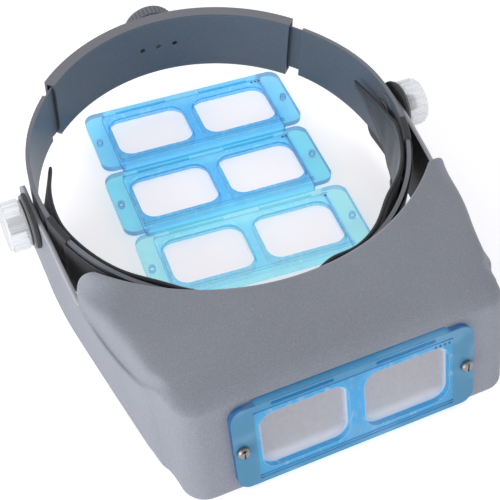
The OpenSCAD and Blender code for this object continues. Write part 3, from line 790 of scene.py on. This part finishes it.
def half_shell(outside, reach):
    """Columns of points for one half, drawn on the right, up the wall and over the top panel."""
    kinds, arms = plan_points()
    columns = [[place(kind, value, d, z) for d, z in arm_profile(value, outside)]
               for kind, value in kinds[:arms]]
    rest = kinds[arms:]
    for i, (kind, value) in enumerate(rest):
        points = [place(kind, value, d, z) for d, z in profile(kind, value, outside)]
        columns.append(points + panel_points(points[-1], i / (len(rest) - 1), outside))
    shape_ear(columns, arms, rest, outside, reach)
    return columns, arms


def shape_ear(columns, arms, rest, outside, reach):
    """Moves the first columns behind the arm onto the ear's curve, fading out forwards."""
    first = [p.copy() for p in columns[arms]]
    start = place(*rest[0], 0.3, wall_top(rest[0][1]) - 0.6)
    low = LOW_ROWS + 1
    shifts = [Vector((0, 0, 0))] * low
    for r in range(low, len(first)):
        shifts.append(ear_curve((r - low) / (len(first) - 1 - low), start, outside, reach) - first[r])
    for i, (kind, value) in enumerate(rest):
        if kind != "side":
            break
        fade = 1 - ramp_between(rest[0][1] - value, 0, 24)
        for r, shift in enumerate(shifts):
            columns[arms + i][r] = columns[arms + i][r] + shift * fade


def build_visor():
    """One moulded shell: grey pebbled outside, black inside, with a rim between that is painted pale as a
    highlight.
    """
    vertices, grids = [], []
    for outside in (True, False):
        right, arms = half_shell(outside, RIGHT_REACH)
        left, arms = half_shell(outside, LEFT_REACH)
        mirrored = [[Vector((-p.x, p.y, p.z)) for p in column] for column in left[:-1]]
        grid = []
        for column in right + mirrored[::-1]:
            grid.append(list(range(len(vertices), len(vertices) + len(column))))
            vertices += [tuple(p) for p in column]
        grids.append(grid)
    faces, indices, border = [], [], {}
    last = len(grids[0]) - 1
    notched = [abs(vertices[grids[0][c][0]][0]) < NOTCH_X + 0.01 and arms <= min(c, last - c)
               for c in range(last + 1)]
    for side, grid in enumerate(grids):
        for c, (a, b) in enumerate(zip(grid, grid[1:])):
            first = LOW_ROWS if notched[c] and notched[c + 1] else 0
            for r in range(first, min(len(a), len(b)) - 1):
                quad = (a[r], a[r + 1], b[r + 1], b[r])
                faces.append(quad if side == 0 else quad[::-1])
                indices.append(side)
                for edge in zip(quad, quad[1:] + quad[:1]) if side == 0 else ():
                    border[frozenset(edge)] = border.get(frozenset(edge), 0) + 1
    offset = grids[1][0][0]
    for p, q in [tuple(edge) for edge, count in border.items() if count == 1]:
        faces.append((p, q, q + offset, p + offset))
        indices.append(2)
    visor = new_object("visor", vertices, faces, ["visor", "visor_inside", "visor_rim"], indices)
    face_outward(visor)
    crease_rims(visor, 0.75)
    divide = visor.modifiers.new("divide", "SUBSURF")
    divide.levels = divide.render_levels = 1
    bake(visor)
    bore_insert_holes(visor)
    visor.data.polygons.foreach_set("use_smooth", [True] * len(visor.data.polygons))
    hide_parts("visor_shell")
    for piece in [visor] + build_screw_bosses():
        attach(piece, "visor")


def crease_rims(made, amount):
    """Keeps the rim's edges crisp under subdivision."""
    mesh = made.data
    crease = mesh.attributes.new("crease_edge", "FLOAT", "EDGE")
    index = {tuple(sorted(e.vertices)): e.index for e in mesh.edges}
    found = {}
    for polygon in mesh.polygons:
        for key in polygon.edge_keys:
            found.setdefault(tuple(sorted(key)), set()).add(polygon.material_index)
    for key, sides in found.items():
        if len(sides) > 1:
            crease.data[index[key]].value = amount


def lathe(name, rings, frame_at, materials, steps=32):
    """A solid of revolution: rings are (radius, distance along the axis) and close on themselves."""
    across, along, other = frame_at[1], frame_at[2], frame_at[1].cross(frame_at[2])
    points = []
    for i in range(steps):
        a = 2 * math.pi * i / steps
        spoke = across * math.cos(a) + other * math.sin(a)
        points += [tuple(frame_at[0] + spoke * r + along * h) for r, h in rings]
    n = len(rings)
    faces = [(i * n + k, i * n + (k + 1) % n, (i + 1) % steps * n + (k + 1) % n, (i + 1) % steps * n + k)
             for i in range(steps) for k in range(n)]
    made = new_object(name, points, faces, materials)
    face_outward(made)
    return made


def insert_frames():
    """Axis point on the outer face, a spoke and the outward direction of each threaded insert."""
    for joint in ("lens_screw_turn_left", "lens_screw_turn_right"):
        yield Vector(JOINTS[joint]["pos_m"]) / MM, Vector((1, 0, 0)), OUTWARD


def bore_insert_holes(visor):
    """Drills the front face for the inserts; a round boss behind it holds each one."""
    for at in insert_frames():
        cutter = new_object("cutter", *plug(at, INSERT_R, 12.0), ["visor_rim"])
        face_outward(cutter)
        hole = visor.modifiers.new("hole", "BOOLEAN")
        hole.operation = "DIFFERENCE"
        hole.object = cutter
        hole.solver = "EXACT"
        bake(visor)
        bpy.data.objects.remove(cutter)


def plug(at, radius, half_length, steps=32):
    """Points and faces of a closed cylinder about an axis."""
    across, along = at[1], at[2]
    other = across.cross(along)
    points = []
    for i in range(steps):
        a = 2 * math.pi * i / steps
        spoke = (across * math.cos(a) + other * math.sin(a)) * radius
        points += [tuple(at[0] + spoke - along * half_length), tuple(at[0] + spoke + along * half_length)]
    count = 2 * steps
    faces = [(k, k + 1, (k + 3) % count, (k + 2) % count) for k in range(0, count, 2)]
    faces += [tuple(range(0, count, 2)), tuple(range(1, count, 2))]
    return points, faces


def build_screw_bosses():
    """The two round bosses behind the front face."""
    bosses = []
    for side, at in zip(("left", "right"), insert_frames()):
        seat = (at[0] - OUTWARD * SCREW_STAND, at[1], at[2])
        rings = [(INSERT_R + 0.05, -INSERT_LEN), (BOSS_R - 0.5, -INSERT_LEN), (BOSS_R, -INSERT_LEN + 0.5),
                 (BOSS_R, -WALL + 0.4), (INSERT_R + 0.05, -WALL + 0.4)]
        bosses.append(lathe("visor_boss_" + side, rings, seat, ["visor_inside"]))
    return bosses


# ---------- sweatband ----------

PAD_FROM = 164.0
PAD_TO = 372.0
PAD_STEP = 2.0
PAD_LOW = -21.3
PAD_THICK = 2.3
# Rows up the pad's inner face as shares of its height; the sewn seams are at rows 2 and 9
PAD_ROWS = [0.0, 0.035, 0.085, 0.18, 0.32, 0.46, 0.6, 0.74, 0.86, 0.93, 0.975, 1.0]
SEAM_ROWS = (2, 9)
PUFF_CAP = 1.1


def pad_shape(angle):
    """Inner radius, outward splay of the lower edge, lower edge and upper edge at one angle."""
    radius = 86.2 - 1.7 * hump(angle, 229, 9) - 3.0 * hump(angle, 283, 6) - 3.2 * hump(angle, 314, 10)
    left_end = ramp_between(-angle, -196, -PAD_FROM)
    right_end = ramp_between(angle, 340, PAD_TO)
    radius -= 6.6 * left_end + 3.4 * right_end
    low, high = PAD_LOW, 11.0
    point_left = ramp_between(-angle, -186, -PAD_FROM)
    point_right = min(1.0, max(0.0, (angle - 346) / (PAD_TO - 346)))
    tip = 3.0 * point_left + 5.0 * point_right
    narrow = 0.93 * (point_left ** 1.8 + point_right ** 0.8)
    low += (tip - low) * narrow
    high += (tip - high) * narrow
    high -= 2.0 * hump(angle, 262, 12)
    splay = (7.5 * ramp_between(-angle, -194, -172) + 1.0 * right_end) * (1 - narrow)
    return radius, splay, low, high


def build_pad():
    """The padded inner layer: a long closed pad that ends in two pointed tongues."""
    angles = list(np.arange(PAD_FROM, PAD_TO + 0.1, PAD_STEP))
    points, faces, seams = [], [], []
    per = 2 * len(PAD_ROWS)
    for angle in angles:
        radius, splay, low, high = pad_shape(angle)
        thick = PAD_THICK if 190 < angle < 350 else PAD_THICK * 0.8
        for k, share in enumerate(PAD_ROWS):
            dip = 0.0 if 0 < k < len(PAD_ROWS) - 1 else thick * 0.3
            if k in SEAM_ROWS:
                seams.append(len(points))
                dip = 0.35
            inner = radius + splay * (1 - share) + dip
            points.append(tuple(on_ring(angle, inner, low + (high - low) * share)))
        for k, share in reversed(list(enumerate(PAD_ROWS))):
            dip = 0.0 if 0 < k < len(PAD_ROWS) - 1 else thick * 0.3
            seams.append(len(points))
            outer = radius + splay * (1 - share) + thick - dip
            points.append(tuple(on_ring(angle, outer, low + (high - low) * share)))
    for i in range(len(angles) - 1):
        for k in range(per):
            a, b = i * per + k, i * per + (k + 1) % per
            faces.append((a, b, b + per, a + per))
    for start in (0, (len(angles) - 1) * per):
        for k in range(len(PAD_ROWS) - 1):
            other = per - 1 - k
            faces.append((start + k, start + k + 1, start + other - 1, start + other))
    pad = new_object("pad", points, faces, ["sleeve"])
    face_outward(pad)
    puff(pad, seams)
    return pad


def puff(pad, pinned):
    """Blows the pad up between its seams as cloth, with the wearer's side free and the rest held."""
    rest = [v.co.copy() for v in pad.data.vertices]
    group = pad.vertex_groups.new(name="held")
    group.add([i for i in pinned if i < len(rest)], 1.0, "REPLACE")
    cloth = pad.modifiers.new("cloth", "CLOTH")
    settings = cloth.settings
    settings.use_pressure = True
    settings.uniform_pressure_force = 4.0
    settings.vertex_group_mass = "held"
    settings.effector_weights.gravity = 0.0
    settings.tension_stiffness = 8.0
    settings.compression_stiffness = 8.0
    settings.bending_stiffness = 0.3
    settings.quality = 6
    cloth.collision_settings.use_collision = False
    cloth.point_cache.frame_start = 1
    cloth.point_cache.frame_end = 20
    for step in range(1, 21):
        bpy.context.scene.frame_set(step)
    depsgraph = bpy.context.evaluated_depsgraph_get()
    blown = [v.co.copy() for v in pad.evaluated_get(depsgraph).data.vertices]
    pad.modifiers.clear()
    bpy.context.scene.frame_set(1)
    for vertex, start, end in zip(pad.data.vertices, rest, blown):
        move = end - start
        if move.length > PUFF_CAP * MM:
            move *= PUFF_CAP * MM / move.length
        vertex.co = start + move


def band_strip(name, angles, path, thick, ripple=0.0):
    """A thin closed strip of cloth: a path of (radius, height) swept round part of the ring."""
    count = len(path)
    points, faces = [], []
    for i, angle in enumerate(angles):
        wave = ripple * math.sin(i * 1.9) * math.sin(i * 0.61 + 1.0)
        for side in (0, 1):
            for k, (radius, w) in enumerate(path):
                before, after = path[max(0, k - 1)], path[min(count - 1, k + 1)]
                along = Vector((after[0] - before[0], after[1] - before[1])).normalized()
                shift = side * thick
                row = (radius + along.y * shift + wave * (k / count), w - along.x * shift + wave * 0.6)
                points.append(tuple(on_ring(angle, *row)))
    per = 2 * count
    for i in range(len(angles) - 1):
        base = i * per
        for k in range(count - 1):
            near, far = base + k, base + count + k
            faces.append((near, near + 1, near + per + 1, near + per))
            faces.append((far, far + per, far + per + 1, far + 1))
        for k in (0, count - 1):
            faces.append((base + k, base + per + k, base + per + count + k, base + count + k))
    for base in (0, (len(angles) - 1) * per):
        for near in range(base, base + count - 1):
            faces.append((near, near + count, near + count + 1, near + 1))
    strip = new_object(name, points, faces, ["sleeve"])
    face_outward(strip)
    return strip


def build_cover():
    """The sleeve's outside: it runs from under the pad round the band's lower edge and up its front."""
    turn = [(89.0 - 3.0 * math.cos(math.radians(a)), BAND_LOW - 0.5 - 1.2 * math.sin(math.radians(a)))
            for a in (0, 30, 60, 90, 120, 150, 180)]
    climb = BAND_HIGH - 1.6 - BAND_LOW
    rise = [(92.3, BAND_LOW + climb * t) for t in (0.1, 0.25, 0.4, 0.6, 0.8, 0.93, 1.0)]
    path = [(86.0, PAD_LOW + 3.0)] + turn + rise
    return band_strip("cover", list(np.arange(198, 340.1, 2.0)), path, -0.7, 0.25)


def build_loop(name, start, end):
    """A loop of the sleeve that crosses over the band's upper edge."""
    over = [(90.2 - 1.65 * math.cos(math.radians(a)), BAND_HIGH + 0.3 + 0.55 * math.sin(math.radians(a)))
            for a in (0, 30, 60, 90, 120, 150, 180)]
    path = [(88.55, 3.0), (88.55, 8.0)] + over + [(91.85, 8.0), (91.85, 1.0), (91.85, -6.0)]
    return band_strip(name, list(np.linspace(start, end, 9)), path, 0.42, 0.06)


def build_sweatband():
    """The padded sleeve: its puffed pad, its cover and the loops over the band."""
    sleeve = join("sweatband_sleeve", [build_pad(), build_cover(), build_loop("loop_left", 189, 199.5),
                                       build_loop("loop_right", 337.5, 347)])
    keep_clear_of_band(sleeve)
    divide = sleeve.modifiers.new("divide", "SUBSURF")
    divide.levels = divide.render_levels = 1
    bake(sleeve)
    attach(sleeve, "headband")
    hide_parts("sweatband")


def keep_clear_of_band(made):
    """Pulls any point in the inner half of the band's wall, below its upper edge, back inside the wall's inner
    face.
    """
    for vertex in made.data.vertices:
        angle, radius, w = ring_place(vertex.co / MM)
        near_stud = min(abs(angle - 181.9), abs(angle - 358.1)) < 7
        limit = 87.4 if near_stud else BAND_IN - 0.25
        if limit < radius < (BAND_IN + BAND_OUT) / 2 and w < BAND_HIGH:
            vertex.co = on_ring(angle, limit, w) * MM


# ---------- side straps ----------

def build_strap(side, sign):
    """One side strap, blended into the band at the pivot without a break."""
    node = frame["nodes"]["side_strap_" + side]
    strap = bpy.data.objects.new("strap_" + side, node.data.copy())
    bpy.context.scene.collection.objects.link(strap)
    strap.data.materials.clear()
    strap.data.materials.append(MATERIALS["band"])
    pivot_angle = 180 if side == "left" else 0
    middle = (BAND_LOW + BAND_HIGH) / 2
    front = min(abs(ring_place(v.co / MM)[0] - pivot_angle) for v in strap.data.vertices)
    for vertex in strap.data.vertices:
        angle, radius, w = ring_place(vertex.co / MM)
        behind = abs(angle - pivot_angle)
        if abs(behind - front) < 0.3:
            angle += sign * 1.5
        if radius > BAND_IN - 0.02 and behind < 43:
            w = middle + (w - middle) * (1.001 - 0.085 * ramp_between(behind, 8, 40))
            radius += 0.03 if radius > BAND_IN + 1 else -0.03
        vertex.co = on_ring(angle, radius, w) * MM
    soften(strap, 0.3)
    bake(strap)
    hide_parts("side_strap_" + side)
    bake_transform(strap)


# ---------- small marks on the lens plates ----------

def plate_face(kind):
    """The middle of one plate's outer face."""
    centre = plate_frame_of(kind)[0]
    if kind == "mounted":
        return centre
    return Vector((centre.x, centre.y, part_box("spare_frame_" + kind)[1].z / MM))


def build_marks():
    """Plain pips by each plate's upper right corner, one more for each stronger pair of lenses."""
    bodies = {"front": "spare_plate_front", "middle": "spare_plate_middle", "rear": "spare_plate_rear",
              "mounted": "lens_plate"}
    for count, (kind, body) in enumerate(bodies.items(), 1):
        _, along, across, outward = plate_frame_of(kind)
        pips = []
        for i in range(count):
            at = plate_face(kind) + along * (44.2 - 2.2 * i) + across * 16.0
            rings = [(0.02, -0.05), (0.62, -0.05), (0.62, 0.06), (0.45, 0.14), (0.02, 0.14)]
            pips.append(lathe("pip", rings, (at, along, outward), ["mark"], 16))
        marks = join("marks_" + kind, pips)
        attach(marks, body)


# ---------- finish of the plain parts ----------

DRESSED = {
    "front_band": ("band", 0.4), "sweatband": ("sleeve", 0.5), "housing_inner_cover": ("band", 0.2),
    "housing_outer_cover": ("band", 0.3), "adjusting_knob": ("band", 0.35),
    # the housing screws take black steel as painted shade for their dark holes
    "lens_screw_inserts": ("brass", 0.1), "housing_screws": ("dark_steel", 0.1),
    # the gear plastic is near black as painted shade for the pinion's end
    "click_ring": ("gear", 0.05), "rack_pinion": ("gear", 0.05), "click_spring": ("steel", 0.05),
    "knob_screw": ("dark_steel", 0.1), "lens_plate_frame": ("blue_mounted", 0.3),
    "spare_frame_rear": ("blue_rear", 0.3), "spare_frame_middle": ("blue_middle", 0.3),
    "spare_frame_front": ("cyan_front", 0.3), "spare_lenses_rear": ("lens_rear", 0.25),
    "spare_lenses_middle": ("lens_middle", 0.25), "spare_lenses_front": ("lens_front", 0.25),
}
DRESSED_IN_PAIRS = {
    # the pivot studs take the darker plated steel as painted shade behind the sleeve's leaf
    "pivot_stud": ("screw", 0.2), "arm_spacer": ("black", 0.1), "friction_disc": ("rubber", 0.25),
    "thrust_disc": ("disc", 0.2), "knob_washer": ("black", 0.12), "clamp_knob": ("knob", 0.3),
    "knob_core": ("core", 0.2), "lens_screw": ("screw", 0.15), "lens": ("lens_mounted", 0.25),
    "side_strap": ("band", 0.2),
}
for pair, finish in DRESSED_IN_PAIRS.items():
    DRESSED[pair + "_left"] = finish
    DRESSED[pair + "_right"] = finish


# ---------- stage ----------

def build_stage():
    """The floor, the studio's sky and its two soft lights."""
    floor = new_object("floor", [(-3000, -3000, -0.02), (3000, -3000, -0.02), (3000, 3000, -0.02),
                                 (-3000, 3000, -0.02)], [(0, 1, 2, 3)], [])
    floor.data.materials.append(floor_material())
    bpy.context.scene.world = studio_world()
    soft_light("key", (-1.1, -0.45, 0.35), 0.9, 9.0)
    soft_light("front", (-0.2, -1.2, 0.3), 0.9, 0.7)
    bpy.context.scene.view_settings.view_transform = "Standard"


def studio_world():
    """A white tent that is brighter round the sides than overhead."""
    world = bpy.data.worlds.new("studio")
    world.use_nodes = True
    tree = world.node_tree
    background = tree.nodes["Background"]
    coords = tree.nodes.new("ShaderNodeTexCoord")
    apart = tree.nodes.new("ShaderNodeSeparateXYZ")
    tree.links.new(coords.outputs["Generated"], apart.inputs["Vector"])
    rise = tree.nodes.new("ShaderNodeMapRange")
    rise.inputs["From Min"].default_value = 0.0
    rise.inputs["From Max"].default_value = 1.0
    rise.inputs["To Min"].default_value = SKY_LOW
    rise.inputs["To Max"].default_value = SKY_HIGH
    tree.links.new(apart.outputs["Z"], rise.inputs["Value"])
    tree.links.new(rise.outputs["Result"], background.inputs["Strength"])
    background.inputs["Color"].default_value = (0.975, 0.98, 1.0, 1.0)
    return world


def soft_light(name, position, size, power):
    """A square area light aimed at the object."""
    data = bpy.data.lights.new(name, "AREA")
    data.size = size
    data.energy = power
    light = bpy.data.objects.new(name, data)
    light.location = position
    light.rotation_euler = (-Vector(position)).to_track_quat("-Z", "Y").to_euler()
    bpy.context.scene.collection.objects.link(light)


def build_camera():
    """The camera that takes the main picture."""
    data = bpy.data.cameras.new("camera")
    data.sensor_width = 36.0
    data.lens = 82.04
    camera = bpy.data.objects.new("camera", data)
    camera.location = (-0.1483, -0.3452, 0.4241)
    target = Vector((0.0028, -0.0078, 0.0))
    camera.rotation_euler = (target - camera.location).to_track_quat("-Z", "Y").to_euler()
    bpy.context.scene.collection.objects.link(camera)
    bpy.context.scene.camera = camera


build_visor()
build_sweatband()
build_strap("left", 1)
build_strap("right", -1)
for node, (key, width) in DRESSED.items():
    dress(node, key, width)
build_marks()
build_stage()
build_camera()
